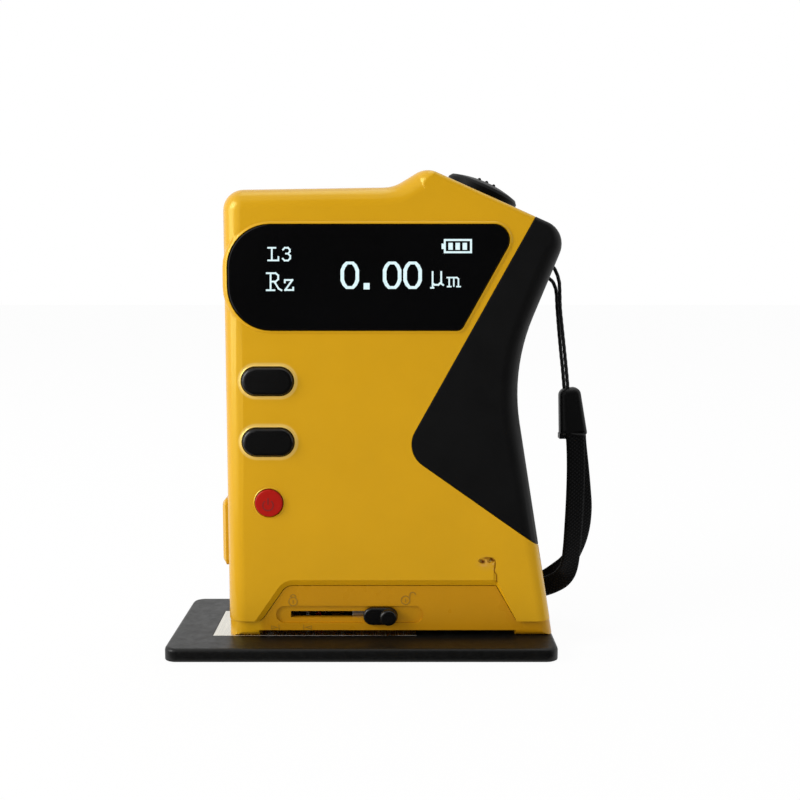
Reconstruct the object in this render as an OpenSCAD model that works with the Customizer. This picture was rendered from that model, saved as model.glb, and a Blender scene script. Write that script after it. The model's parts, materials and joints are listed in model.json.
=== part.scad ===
// Surface roughness tester standing on its reference plate.
// Millimetres, +Z up, the front looks towards -Y.
// The origin is the middle of the underside of the plate.
// Inside the modules heights start at the soles of the feet and y = 0 is the parting plane of the shells.

/* [Body] */
// Width from the left side to the corner of the shoulder
body_w = 79; // [77:0.5:82]
// Thickness from the front face to the rear face
body_t = 22; // [21.5:0.5:25]
// Distance of the left side from the middle of the plate
body_side = 31.6; // [30:0.2:34]
// Place of the body on the plate, front to back
body_y = -0.8; // [-1:0.1:1]
// Height of the flat part of the top
top_h = 104.2; // [103.6:0.2:106]
// Height of the peak beside the start button
peak_h = 108.5; // [107.5:0.5:110]
// Distance of the peak from the left side
peak_in = 46; // [45:0.5:47]
// Length of the ramp up to the peak
ramp_w = 7.1; // [6.5:0.1:8]
// Height of the corner of the shoulder
shoulder_h = 93.9; // [93:0.5:96]
// Height of the waist
waist_h = 62.8; // [58:0.5:66]
// Depth of the waist
waist_in = 12.7; // [11:0.5:14]
// Inset of the right foot from the corner of the shoulder
foot_in = 2.5; // [1.5:0.5:3.5]
// Thickness of the moulded walls
wall = 2; // [1.7:0.1:2.2]
// Rounding of the front and rear edges
edge_r = 4.6; // [3.4:0.2:4.6]
// Rounding of the edges of the sloping shoulder
slope_r = 1.2; // [0.8:0.1:1.6]
// Rounding of the edges of the grip
grip_r = 4.4; // [3:0.2:5]

/* [Grip] */
// Thickness of the rubber
grip_t = 1.8; // [1.4:0.1:2]
// Distance of the tip of the grip from the left side
grip_tip_in = 41.2; // [40:0.2:43]
// Height of the tip of the grip
grip_tip_h = 43.8; // [42:0.2:46]
// Lean of the upper edge of the grip
grip_upper_a = 29; // [28:0.5:30]
// Fall of the lower edge of the grip
grip_lower_a = 35.3; // [33:0.1:37]
// Gap along the seams
seam = 0.15; // [0.1:0.05:0.25]

/* [Display] */
// Height of the lower edge of the window
window_z = 71.7; // [70.5:0.1:72.5]
// Height of the window
window_h = 24; // [23:0.2:25]
// Distance of the window from the left side
window_side = 1.35; // [1.35:0.05:2]
// Gap between the window and the grip
window_gap = 2.3; // [2.3:0.1:3]
// Thickness of the window
window_t = 1.2; // [1:0.1:1.3]
// Width of the raised lip round the window
lip_w = 1.25; // [1:0.05:1.3]
// Height of the raised lip
lip_h = 0.5; // [0.4:0.1:0.8]
// Width of the display glass
glass_w = 49; // [44:0.5:49]
// Height of the display glass
glass_h = 14.5; // [13:0.5:14.5]

/* [Keys] */
// Distance of the keys from the left side
key_in = 10.2; // [9.8:0.1:11]
// Width of a key
key_w = 11.9; // [11:0.1:13]
// Height of a key
key_h = 6.5; // [6:0.1:7.4]
// Height of the middle of the upper key
key_z = 60.2; // [59:0.1:61]
// Distance from the upper key to the lower key
key_pitch = 14; // [13:0.1:15]
// Height of the middle of the power key
power_z = 32; // [31:0.1:33]
// Diameter of the power key
power_d = 6.4; // [6:0.1:7]
// Rim round the keys
rim_w = 0.9; // [0.8:0.1:1.1]
// Stroke of the keys
key_stroke = 0.5; // [0.3:0.1:0.6]
// Diameter of the start button
start_d = 17.2; // [16:0.2:17.4]
// Distance of the start button from the peak, along the slope
start_in = 14.4; // [13.6:0.2:15]
// Height of the start button above the slope
start_out = 3.4; // [3:0.1:4]
// Stroke of the start button
start_stroke = 0.8; // [0.5:0.1:1]

/* [Base] */
// Height of the seam above the feet
foot_h = 3.8; // [3.6:0.1:4.4]
// Height of the recessed panel
panel_h = 12.2; // [11.6:0.1:13]
// Depth of the panel and the feet behind the front face
panel_in = 1; // [0.8:0.1:1.2]
// Clear space under the body
base_gap = 1.4; // [1.2:0.1:1.6]
// Rounding of the lower edges of the feet
sole_r = 1.6; // [1:0.1:2]
// Width of the left foot
left_foot = 7.4; // [7:0.2:7.8]
// Width of the right foot
right_foot = 8.9; // [8.6:0.1:9.4]

/* [Lock] */
// Height of the middle of the slot
slot_z = 5.1; // [5:0.05:5.3]
// Height of the slot
slot_h = 1.55; // [1.2:0.05:1.6]
// Height of the shallow track round the slot
recess_h = 4.1; // [3.6:0.1:4.2]
// Length of the knob
knob_w = 8.1; // [7:0.1:8.4]
// Height of the knob
knob_h = 4.2; // [3.8:0.1:4.3]
// Travel of the knob
lock_stroke = 19; // [18:0.5:19.5]

/* [Drive] */
// Traverse of the pickup
stroke = 6; // [5:0.5:6.5]
// Height of the guide rods
rod_z = 15; // [14.9:0.1:15.3]
// Diameter of the guide rods
rod_d = 2; // [1.6:0.1:2.2]
// Diameter of the lead screw
screw_d = 2.4; // [2:0.1:2.6]
// Diameter of the pickup
pickup_d = 6.4; // [6:0.1:6.5]
// Distance of the stylus from the left side
stylus_in = 18.1; // [18:0.1:18.6]

/* [Strap] */
// Diameter of the thin cord
cord_d = 0.9; // [0.8:0.1:1]
// Width of the webbing
web_w = 4.8; // [4.4:0.1:4.8]
// Thickness of the webbing
web_t = 1; // [0.8:0.1:1.2]
// Diameter of the lanyard bar
bar_d = 2.4; // [2:0.1:2.6]

/* [Plate] */
// Width of the plate
plate_w = 90; // [86:0.5:94]
// Depth of the plate
plate_d = 40.6; // [39:0.2:44]
// Thickness of the plate
plate_t = 3; // [2.5:0.1:5]
// Corner radius of the plate
plate_r = 3; // [2:0.5:5]
// Width of the specimen
specimen_w = 48; // [40:0.5:50]
// Depth of the specimen
specimen_d = 19.4; // [18:0.2:24]
// Thickness of the specimen
specimen_t = 1.2; // [0.8:0.1:1.6]

/* [Hidden] */
$fn = 64;

// Clearances: pieces seated in each other, sliding pieces
fit = 0.05;
slide = 0.18;

// Faces and main points of the body
left = -body_side;
front = -body_t / 2;
rear = body_t / 2;
shoulder_x = left + body_w;
peak_x = left + peak_in;
waist_x = shoulder_x - waist_in;
foot_x = shoulder_x - foot_in;
slope_a = atan2(peak_h - shoulder_h, shoulder_x - peak_x);
skirt = 12;
skirt_x = foot_x + skirt * (foot_x - waist_x) / waist_h;
arc_step = 9;
big = 200;

// Outlines: a corner is [x, height, corner radius, edge rounding before, edge rounding after]
body_corners = [
    [left, -skirt, 0, edge_r, edge_r],
    [skirt_x, -skirt, 0, 3, 3],
    [waist_x, waist_h, 46, grip_r, grip_r],
    [shoulder_x, shoulder_h, 5.5, grip_r, slope_r],
    [peak_x, peak_h, 5, slope_r, edge_r],
    [peak_x - ramp_w, top_h, 8, edge_r, edge_r],
    [left, top_h - 0.6, 4.8, edge_r, edge_r]
];
grip_tip_x = left + grip_tip_in;
grip_far = shoulder_x + 12;
grip_top = peak_h + 10;
function grip_x(h) = grip_tip_x + (h - grip_tip_h) * tan(grip_upper_a);
grip_corners = [
    [grip_tip_x, grip_tip_h, 6, 0, 0],
    [grip_far, grip_tip_h - (grip_far - grip_tip_x) * tan(grip_lower_a), 0, 0, 0],
    [grip_far, grip_top, 0, 0, 0],
    [grip_x(grip_top), grip_top, 0, 0, 0]
];
window_x = left + window_side;
window_top = window_z + window_h;
window_corners = [
    [window_x, window_z, window_h * 0.41, 0.5, 0.5],
    [grip_x(window_z) - window_gap, window_z, 1.6, 0.5, 0.5],
    [grip_x(window_top) - window_gap, window_top, 3.6, 0.5, 0.5],
    [window_x, window_top, window_h * 0.41, 0.5, 0.5]
];
panel_l = left + left_foot + 0.6;
panel_r = foot_x - right_foot + 0.2;
panel_lean_l = 5.8;
panel_lean_r = 4.8;
base_corners = [
    [left - 20, -40, 0, 0, 0],
    [foot_x + 20, -40, 0, 0, 0],
    [foot_x + 20, foot_h, 0, 0, 0],
    [panel_r, foot_h, 0.6, 0, 0],
    [panel_r - panel_lean_r, panel_h, 0.5, 0, 0],
    [panel_l + panel_lean_l, panel_h, 3, 0, 0],
    [panel_l, foot_h, 1.6, 0, 0],
    [left - 20, foot_h, 0, 0, 0]
];

// Places of the pieces inside
board_y = front + 8;
board_t = 1.6;
key_x = left + key_in;
key_face = 1.2;
glass_x = 0;
glass_z = window_z + 14.6;
window_front = front - lip_h + 0.25;
window_back = window_front + window_t;
case_points = [[left + 6, top_h - 5.9], [left + 40.1, top_h - 5.4], [left + 5, 9.8], [foot_x - 5.9, 9.8]];
base_points = [[left + 4.2, -5.7], [left + 4.2, 5.7], [foot_x - 5.2, -5.7], [foot_x - 5.2, 5.7]];
board_points = [[left + 5.6, window_z - 3.2], [left + 41, window_z - 3.2], [left + 20, 26], [left + 41, 26]];
socket_z = 23.6;
cover_h = 16.2;
specimen_x = left - 3.6;
start_board_l = -3.1;
start_board_r = 6.5;
hinge_x = left - 0.8;
hinge_y = 6.6;
foot_lx = left + left_foot;
foot_rx = foot_x - right_foot;
floor_z = base_gap + 1.4;
panel_t = 1.8;
panel_y = front + panel_in;

// Lock: the knob rests at the right end of its slot
knob_x = left + 35.9;
recess_l = knob_x - lock_stroke - 5.5;
recess_r = knob_x + 10;
stem_w = 3.9;
stem_x = knob_x + 1.05;
slot_l = stem_x - stem_w / 2 - lock_stroke - 1.2;
slot_r = stem_x + stem_w / 2 + 0.3;
plate_y = panel_y + panel_t + 0.1;
blade_z = floor_z + 0.1;
blade_t = 0.8;
drive_y = 1;

// Drive: the carriage rests at the right end of its traverse
stylus_x = left + stylus_in;
car_x = stylus_x + 20;
car_w = 8;
end_t = 1.2;
end_gap = 0.6;
end_l = car_x - stroke - end_gap;
end_r = car_x + car_w + end_gap;
pickup_z = rod_z - 6.2;
pickup_x = stylus_x + 5.5;
rod_y = 3.8;
gear_x = end_r + end_t;
motor_x = gear_x + 9;
arm_z = pickup_z - 1.6;
pivot_x = pickup_x + 1.2;

// Lanyard bar, in the frame of the upper back edge
back_a = atan2(waist_in, shoulder_h - waist_h);
bar_s = 9;
bar_in = 3.2;

// Strap: points chosen by hand, in the frame of the tester
cord_route = [
    [49.5, 3.4, 56.5], [49.3, 3.3, 58.5], [48.9, 3, 62], [48.3, 2.4, 66.5], [47.6, 1.7, 71.5],
    [46.9, 0.8, 76.5], [46.6, 0, 80.5], [46.3, -0.5, 83], [45.3, -0.7, 85.6], [43.6, -0.7, 87.4],
    [41.7, -0.6, 88.7], [39.9, -0.2, 88.5], [39, 0.3, 86.9], [39.8, 0.6, 85.2], [41.5, 0.8, 84.7],
    [43.4, 0.9, 84], [45, 1, 82.8], [45.9, 1.1, 80.6], [46.3, 1.7, 76.8], [46.9, 2.6, 71.6],
    [47.6, 3.5, 66.2], [48.2, 4.1, 61.8], [48.6, 4.5, 58.4], [48.8, 4.6, 56.5]
];
web_route = [
    [51.2, 3, 46.6], [51.5, 3, 43], [51.7, 3.2, 37], [51.7, 3.8, 30], [51.6, 4.8, 23], [51.5, 6.2, 17],
    [51.2, 8, 12.2], [50, 10.2, 8.6], [47.6, 12, 6.4], [44.4, 13, 5], [40, 13.4, 3.7], [34, 13.5, 2.8],
    [26, 13.4, 2.5], [14, 13.3, 2.5], [2, 13.2, 2.5], [-12, 13.2, 2.5], [-19, 13.3, 2.5],
    [-22.4, 13.9, 2.5], [-23.6, 15.3, 2.5], [-22.4, 16.7, 2.5], [-19, 17.3, 2.5], [-12, 17.4, 2.5],
    [2, 17.4, 2.5], [14, 17.4, 2.5], [26, 17.3, 2.5], [34, 17.2, 2.8], [40, 17.1, 3.8], [44.8, 16.7, 5.4],
    [48.6, 15.6, 8], [51.6, 13.8, 11.6], [53.4, 11.8, 16], [54.3, 9.8, 21], [54.4, 8, 26.5],
    [53.8, 6.7, 32], [53, 5.7, 38], [52.3, 5.1, 43], [52, 4.9, 46.6]
];
web_turn_low = 4.5;
web_turn_high = 16;
web_side = [0.94, 0.34, 0];

// Geometry helpers
function unit(v) = v / norm(v);
function flat_cross(a, b) = a[0] * b[1] - a[1] * b[0];
function corner_points(p, c, n) =
    let (a = unit([p[0] - c[0], p[1] - c[1]]), b = unit([n[0] - c[0], n[1] - c[1]]))
    let (half = acos(a * b) / 2, bulge = sign(flat_cross(-a, b)), mid = unit(a + b), r = c[2])
    let (steps = max(2, ceil((180 - 2 * half) / (r > 30 ? 3 : arc_step))))
    let (centre = [c[0], c[1]] + mid * r / sin(half), start = [c[0], c[1]] + a * r / tan(half) - centre)
    let (a0 = atan2(start[1], start[0]), sweep = bulge * (180 - 2 * half))
    r == 0
    ? [[c[0], c[1], -bulge * mid[0] / sin(half), -bulge * mid[1] / sin(half), c[3]]]
    : [for (i = [0:steps])
        let (t = i / steps, d = [cos(a0 + sweep * t), sin(a0 + sweep * t)])
        [centre[0] + r * d[0], centre[1] + r * d[1], bulge * d[0], bulge * d[1],
            c[3] + (c[4] - c[3]) * t]];
function outline(corners) =
    let (n = len(corners))
    [for (i = [0:n - 1]) each corner_points(corners[(i + n - 1) % n], corners[i], corners[(i + 1) % n])];
function round_outline(x, z, r, e) =
    [for (i = [0:47]) [x + r * cos(7.5 * i), z + r * sin(7.5 * i), cos(7.5 * i), sin(7.5 * i), e]];
function pill(x, z, w, h, e) =
    let (r = h / 2 - 0.02)
    outline([[x - w / 2, z - h / 2, r, e, e], [x + w / 2, z - h / 2, r, e, e],
        [x + w / 2, z + h / 2, r, e, e], [x - w / 2, z + h / 2, r, e, e]]);
function grown(o, d) = [for (v = o) [v[0] + v[2] * d, v[1] + v[3] * d]];
function edge_ring(o, d, y, way, t) =
    [for (v = o)
        let (e = max(v[4] - d, 0.3), s = d + e * (1 - sin(t)))
        [v[0] - v[2] * s, y + way * (d + e * (1 - cos(t))), v[1] - v[3] * s]];

// Triangles that fill a flat outline, found by cutting off one ear after another
function turn(a, b, c) = flat_cross(b - a, c - b);
function holds(a, b, c, p) = turn(a, b, p) >= 0 && turn(b, c, p) >= 0 && turn(c, a, p) >= 0;
function is_ear(p, q, i) =
    let (n = len(q), h = q[(i + n - 1) % n], j = q[(i + 1) % n])
    turn(p[h], p[q[i]], p[j]) > 0
    && len([for (k = q) if (k != h && k != q[i] && k != j && holds(p[h], p[q[i]], p[j], p[k])) k]) == 0;
function next_ear(p, q, i) = i >= len(q) - 1 || is_ear(p, q, i) ? i : next_ear(p, q, i + 1);
function ears(p, q, done) =
    let (n = len(q), i = next_ear(p, q, 0))
    n == 3
    ? concat(done, [q])
    : ears(p, [for (k = [0:n - 1]) if (k != i) q[k]],
        concat(done, [[q[(i + n - 1) % n], q[i], q[(i + 1) % n]]]));

// Upright prism between two depths, grown by d
module prism(o, d, y0, y1) {
    translate([0, y1, 0])
        rotate([90, 0, 0])
            linear_extrude(y1 - y0)
                polygon(grown(o, d));
}

// Slab with rounded front and rear edges, its faces moved in by d
module slab(o, d, y0, y1, steps) {
    n = len(o);
    m = 2 * steps + 2;
    rings = concat(
        [for (k = [0:steps]) edge_ring(o, d, y0, 1, 90 * k / steps)],
        [for (k = [steps:-1:0]) edge_ring(o, d, y1, -1, 90 * k / steps)]
    );
    cap = ears([for (v = rings[0]) [v[0], v[2]]], [for (i = [0:n - 1]) i], []);
    polyhedron(
        points = [for (r = rings) each r],
        faces = concat(
            [for (k = [0:m - 2], i = [0:n - 1])
                [k * n + i, k * n + (i + 1) % n, (k + 1) * n + (i + 1) % n, (k + 1) * n + i]],
            [for (t = cap) [t[2], t[1], t[0]]],
            [for (t = cap) [for (i = t) (m - 1) * n + i]]
        )
    );
}

// Pad with a rounded front edge only
module pad(o, d, y0, y1, steps) {
    n = len(o);
    m = steps + 2;
    rings = concat(
        [for (k = [0:steps]) edge_ring(o, -d, y0 + d, 1, 90 * k / steps)],
        [[for (v = o) [v[0] + v[2] * d, y1, v[1] + v[3] * d]]]
    );
    polyhedron(
        points = [for (r = rings) each r],
        faces = concat(
            [[for (i = [n - 1:-1:0]) i]],
            [for (k = [0:m - 2], i = [0:n - 1])
                [k * n + i, k * n + (i + 1) % n, (k + 1) * n + (i + 1) % n, (k + 1) * n + i]],
            [[for (i = [0:n - 1]) (m - 1) * n + i]]
        )
    );
}

// Tube through rings of points
module skin(rings) {
    n = len(rings[0]);
    m = len(rings);
    polyhedron(
        points = [for (r = rings) each r],
        faces = concat(
            [[for (i = [n - 1:-1:0]) i]],
            [for (k = [0:m - 2], i = [0:n - 1])
                [k * n + i, k * n + (i + 1) % n, (k + 1) * n + (i + 1) % n]],
            [for (k = [0:m - 2], i = [0:n - 1])
                [k * n + i, (k + 1) * n + (i + 1) % n, (k + 1) * n + i]],
            [[for (i = [0:n - 1]) (m - 1) * n + i]]
        )
    );
}
function smooth_point(a, b, c, d, t) =
    0.5 * (2 * b + (c - a) * t + (2 * a - 5 * b + 4 * c - d) * t * t + (3 * b - a - 3 * c + d) * t * t * t);
function smooth(p, sub) =
    let (n = len(p))
    concat(
        [for (i = [0:n - 2], k = [0:sub - 1])
            smooth_point(p[max(i - 1, 0)], p[i], p[i + 1], p[min(i + 2, n - 1)], k / sub)],
        [p[n - 1]]
    );
function along(p, i) = unit(p[min(i + 1, len(p) - 1)] - p[max(i - 1, 0)]);

outline_body = outline(body_corners);
outline_grip = outline(grip_corners);
outline_window = outline(window_corners);
outline_base = outline(base_corners);

module on_plate() {
    translate([0, body_y, plate_t])
        children();
}

module block(x0, x1, y0, y1, z0, z1) {
    translate([x0, y0, z0])
        cube([x1 - x0, y1 - y0, z1 - z0]);
}

// Cylinders along the three axes, from a to b
module rod_x(r, a, b, y, z) {
    translate([a, y, z])
        rotate([0, 90, 0])
            cylinder(r = r, h = b - a);
}

module rod_along_y(r, a, b, x, z) {
    translate([x, b, z])
        rotate([90, 0, 0])
            cylinder(r = r, h = b - a);
}

module rod_up(r, a, b, x, y) {
    translate([x, y, a])
        cylinder(r = r, h = b - a);
}

// Frame of the sloping shoulder, its z axis stands out of the slope
module on_slope() {
    translate([peak_x + start_in * cos(slope_a), 0, peak_h - start_in * sin(slope_a)])
        rotate([0, slope_a, 0])
            children();
}

// Frame of the upper back edge, its x axis stands out of the grip
module on_back() {
    translate([shoulder_x - bar_s * sin(back_a), 0, shoulder_h - bar_s * cos(back_a)])
        rotate([0, back_a, 0])
            children();
}

module front_half() {
    intersection() {
        children();
        block(-big, big, -big, 0, -big, big);
    }
}

module rear_half() {
    intersection() {
        children();
        block(-big, big, 0, big, -big, big);
    }
}

// Both shells before they are parted
module shell_blank() {
    difference() {
        slab(outline_body, 0, front, rear, 5);
        difference() {
            prism(outline_grip, 0, front - 5, rear + 5);
            slab(outline_body, grip_t, front, rear, 4);
        }
    }
}

module shell_cavity() {
    difference() {
        slab(outline_body, wall, front, rear, 3);
        difference() {
            prism(outline_grip, wall, front - 5, rear + 5);
            slab(outline_body, grip_t + wall, front, rear, 3);
        }
    }
}

// Chamfer above and beside the recessed panel, on the front or the rear
module panel_chamfer(y_face, way) {
    drop = 1.5;
    lean = panel_lean_l * (panel_h + drop - foot_h) / (panel_h - foot_h);
    inner = outline([[panel_l, foot_h, 0, 0, 0], [panel_r, foot_h, 0, 0, 0],
        [panel_r - panel_lean_r, panel_h, 0, 0, 0], [panel_l + panel_lean_l, panel_h, 3, 0, 0]]);
    outer = outline([[panel_l - drop, foot_h, 0, 0, 0], [panel_r, foot_h, 0, 0, 0],
        [panel_r - panel_lean_r, panel_h + drop, 0, 0, 0],
        [panel_l - drop + lean, panel_h + drop, 4.5, 0, 0]]);
    skin([
        [for (p = outer) [p[0], y_face - way * 0.5, p[1]]],
        [for (p = outer) [p[0], y_face, p[1]]],
        [for (p = inner) [p[0], y_face + way * panel_in, p[1]]]
    ]);
}

module shell_cuts() {
    prism(outline_base, 0, front - 5, rear + 5);
    on_slope()
        translate([0, 0, -4.5])
            cylinder(d = start_d + 2 * slide, h = 12);
    block(left - 2, left + wall + 1.2, -2.3, 2.3, socket_z - 5, socket_z + 5);
    rod_up(1 + slide, socket_z - cover_h / 2 - 0.4, socket_z + cover_h / 2 + 0.4, hinge_x, hinge_y);
    lanyard_pocket();
    on_back()
        rod_along_y(bar_d / 2 + fit, -4.5, 4.5, -bar_in, 0);
}

module lanyard_pocket() {
    on_back()
        block(-bar_in - 3, 4, -2.4, 2.4, -3.1, 3.1);
}

module lanyard_block() {
    intersection() {
        on_back()
            block(-bar_in - 4.4, 0, -6, 6, -4.6, 4.6);
        slab(outline_body, grip_t + 0.4, front, rear, 3);
    }
}

module key_holes() {
    prism(pill(key_x, key_z, key_w, key_h, 0), slide, front - 3, front + 6);
    prism(pill(key_x, key_z - key_pitch, key_w, key_h, 0), slide, front - 3, front + 6);
    rod_along_y(power_d / 2 + slide, front - 3, front + 6, key_x, power_z);
}

// Chip in the front face and the crack from it to the corner of the panel
module chip() {
    x = panel_r - panel_lean_r - 0.4;
    z = panel_h + 5.2;
    translate([x - 3.4, front, z + 0.9])
        rotate([90, 0, 20])
            sphere(r = 0.55);
    translate([x - 1.25, front, z + 1])
        rotate([90, 0, 20])
            sphere(r = 0.7);
    block(x - 0.32, x - 0.18, front - 1, front + 0.35, panel_h, z + 0.4);
}

module front_shell() {
    color("gold")
        difference() {
            union() {
                difference() {
                    union() {
                        front_half()
                            shell_blank();
                        pad(outline_window, lip_w, front - lip_h, front + edge_r + 0.4, 3);
                        for (z = [key_z, key_z - key_pitch])
                            pad(pill(key_x, z, key_w, key_h, 0.6), rim_w, front - 0.6, front + 1.8, 3);
                        pad(round_outline(key_x, power_z, power_d / 2, 0.5), rim_w,
                            front - 0.4, front + 1, 3);
                    }
                    shell_cavity();
                }
                for (p = case_points)
                    rod_along_y(2.4, front + wall - 0.5, -0.1, p[0], p[1]);
                for (p = board_points)
                    rod_along_y(2.2, front + wall - 0.5, board_y, p[0], p[1]);
                for (p = base_points)
                    if (p[1] < 0)
                        rod_up(1.8, 1.9, 8, p[0], p[1]);
                front_half()
                    lanyard_block();
            }
            difference() {
                shell_cuts();
                for (p = base_points)
                    rod_up(1.8, -1, 8, p[0], p[1]);
            }
            panel_chamfer(front, 1);
            chip();
            key_holes();
            prism(outline_window, fit, front - 5, window_back);
            block(glass_x - glass_w / 2 - 0.2, glass_x + glass_w / 2 + 0.2, front - 2, front + 4,
                glass_z - glass_h / 2 - 0.2, glass_z + glass_h / 2 + 0.2);
            for (p = case_points)
                rod_along_y(0.85, -7, 1, p[0], p[1]);
            for (p = board_points)
                rod_along_y(0.7, board_y - 4.5, board_y + 1, p[0], p[1]);
            for (p = base_points)
                rod_up(0.85, 1, 7.6, p[0], p[1]);
        }
}

module rear_shell() {
    color("gold")
        difference() {
            union() {
                difference() {
                    rear_half()
                        shell_blank();
                    shell_cavity();
                }
                for (p = case_points)
                    rod_along_y(2.6, 0.1, rear - wall + 0.5, p[0], p[1]);
                for (p = base_points)
                    if (p[1] > 0)
                        rod_up(1.8, 1.9, 8, p[0], p[1]);
                rear_half()
                    lanyard_block();
                on_slope()
                    block(start_board_l, start_board_r, 0.4, rear - wall + 0.5, -8.75, -7.8);
            }
            difference() {
                shell_cuts();
                for (p = base_points)
                    rod_up(1.8, -1, 8, p[0], p[1]);
            }
            mirror([0, 1, 0])
                panel_chamfer(front, 1);
            for (p = case_points) {
                rod_along_y(1.05, -1, rear + 1, p[0], p[1]);
                rod_along_y(2.2, rear - 2, rear + 1, p[0], p[1]);
            }
            for (p = base_points)
                rod_up(0.85, 1, 7.6, p[0], p[1]);
        }
}

module grip() {
    color("dimgray")
        difference() {
            slab(outline_body, 0, front, rear, 5);
            slab(outline_body, grip_t - fit, front, rear, 4);
            difference() {
                block(-big, big, -big, big, -big, big);
                prism(outline_grip, -seam, front - 5, rear + 5);
            }
            lanyard_pocket();
        }
}

// What the rounding of the lower front edge of the feet takes away
module sole_edge() {
    difference() {
        block(-big, big, panel_y - 1, panel_y + sole_r, -1, sole_r);
        rod_x(sole_r, -big - 1, big + 1, panel_y + sole_r, sole_r);
    }
}

module bottom_cover() {
    color("goldenrod")
        difference() {
            slab(outline_body, 0, panel_y, -panel_y, 5);
            difference() {
                block(-big, big, -big, big, -big, big);
                prism(outline_base, -seam, front - 5, rear + 5);
            }
            block(-big, big, -big, big, -big, 0);
            sole_edge();
            mirror([0, 1, 0])
                sole_edge();
            block(foot_lx, foot_rx, -big, big, -1, base_gap);
            block(foot_lx + 0.5, foot_rx - 0.5, panel_y + panel_t, -panel_y - panel_t, floor_z, 40);
            intersection() {
                slab(outline_body, wall, panel_y, -panel_y, 3);
                union() {
                    block(-big, foot_lx - 1.4, -big, big, 1.8, 40);
                    block(foot_rx + 1.4, big, -big, big, 1.8, 40);
                    block(foot_lx - 2, foot_lx + 1, -8, 8, floor_z, 40);
                    block(foot_rx - 1, foot_rx + 2, -8, 8, floor_z, 40);
                }
            }
            prism(pill((recess_l + recess_r) / 2, slot_z + 0.07, recess_r - recess_l, recess_h, 0), 0,
                front - 3, panel_y + 0.5);
            block(slot_l, slot_r, front - 3, panel_y + panel_t + 1, slot_z - slot_h / 2, slot_z + slot_h / 2);
            block(stylus_x - stroke - 3.5, stylus_x + 5.5, drive_y - 4, drive_y + 4,
                base_gap - 1, floor_z + 1);
            for (p = base_points) {
                rod_up(1.05, -1, 3, p[0], p[1]);
                rod_up(1.9, -1, 0.9, p[0], p[1]);
            }
            for (x = [gear_x + 4.5, gear_x + 14.5])
                rod_up(1.05, 0, 5, x, drive_y);
        }
}

module display_window() {
    color("black")
        slab(outline_window, 0, window_front, window_back, 2);
}

module display_glass() {
    color("darkslategray")
        block(glass_x - glass_w / 2, glass_x + glass_w / 2, window_back + fit, window_back + 1.9,
            glass_z - glass_h / 2, glass_z + glass_h / 2);
}

module display_holder() {
    color("silver")
        difference() {
            block(glass_x - glass_w / 2, glass_x + glass_w / 2, window_back + 1.9 + fit, board_y - fit,
                glass_z - glass_h / 2, glass_z + glass_h / 2);
            block(glass_x - glass_w / 2 + 1.4, glass_x + glass_w / 2 - 1.4, window_back + 3, board_y + 1,
                glass_z - glass_h / 2 + 1.4, glass_z + glass_h / 2 - 1.4);
        }
}

module long_key(z) {
    color("black")
        union() {
            pad(pill(key_x, z, key_w, key_h, 0.9), 0, front - key_face, front + wall + 0.6, 4);
            prism(pill(key_x, z, key_w, key_h, 0), 0.4, front + wall + 0.35, front + wall + 1.1);
            rod_along_y(1.6, front + wall + 0.5, board_y - 3.5 - key_stroke, key_x, z);
        }
}

module upper_key() {
    long_key(key_z);
}

module lower_key() {
    long_key(key_z - key_pitch);
}

module power_key() {
    color("red")
        union() {
            translate([key_x, front - 0.7, power_z])
                rotate([-90, 0, 0])
                    rotate_extrude()
                        union() {
                            translate([0, 0.35])
                                square([power_d / 2, wall + 0.9]);
                            square([power_d / 2 - 0.35, 0.6]);
                            translate([power_d / 2 - 0.35, 0.35])
                                circle(r = 0.35);
                        }
            rod_along_y(power_d / 2 + 0.7, front + wall + 0.2, front + wall + 1, key_x, power_z);
            rod_along_y(1.6, front + wall + 0.5, board_y - 3.5 - key_stroke, key_x, power_z);
        }
}

module start_button() {
    r = start_d / 2;
    crown = 1.5;
    dome = (r * r + crown * crown) / (2 * crown);
    rim_z = start_out - crown - 0.5;
    color("black")
        on_slope()
            difference() {
                union() {
                    intersection() {
                        translate([0, 0, start_out - dome])
                            sphere(r = dome);
                        translate([0, 0, -3.4])
                            cylinder(r = r, h = start_out + 4);
                        translate([0, 0, rim_z - 5])
                            cylinder(r1 = r + 3.75, r2 = r - 2.25, h = 8);
                    }
                    intersection() {
                        translate([0, 0, -3.4])
                            cylinder(r = r + 1, h = 1);
                        block(-r - 2, r + 2, -3.2, 3.2, -4, 0);
                    }
                    translate([0, 0, -4.2])
                        cylinder(r = 2, h = 4.4);
                    for (u = [-1.8, 0, 1.8])
                        rod_along_y(0.4, -3.4, 3.4, u, start_out - 0.28 - u * u / (2 * dome));
                }
                translate([0, 0, -4])
                    difference() {
                        cylinder(r = r - 1.3, h = 4.2);
                        cylinder(r = 2, h = 5);
                    }
            }
}

module main_board() {
    color("darkgreen")
        difference() {
            block(left + 3, left + 43.6, board_y, board_y + board_t, socket_z - 4.2, window_top - 0.7);
            for (p = board_points)
                rod_along_y(0.9, board_y - 1, board_y + 3, p[0], p[1]);
        }
}

module key_switches() {
    color("dimgray")
        for (z = [key_z, key_z - key_pitch, power_z]) {
            block(key_x - 3, key_x + 3, board_y - 3, board_y - fit, z - 3, z + 3);
            rod_along_y(1.7, board_y - 3.4, board_y - 2, key_x, z);
        }
}

module start_board() {
    color("darkgreen")
        on_slope()
            block(start_board_l, start_board_r, board_y + 0.1, rear - wall - 0.6, -7.75, -6.75);
}

module start_switch() {
    color("dimgray")
        on_slope()
            union() {
                block(-3, 3, -2.8, 2.8, -6.75 + fit, -5.4 - start_stroke + 0.5);
                translate([0, 0, -6.5])
                    cylinder(r = 1.7, h = 2.2 - start_stroke);
            }
}

module battery() {
    color("lightgray")
        block(left + 13.6, left + 37.6, board_y + board_t + fit, board_y + board_t + 6.8, 30, 66);
}

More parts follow.
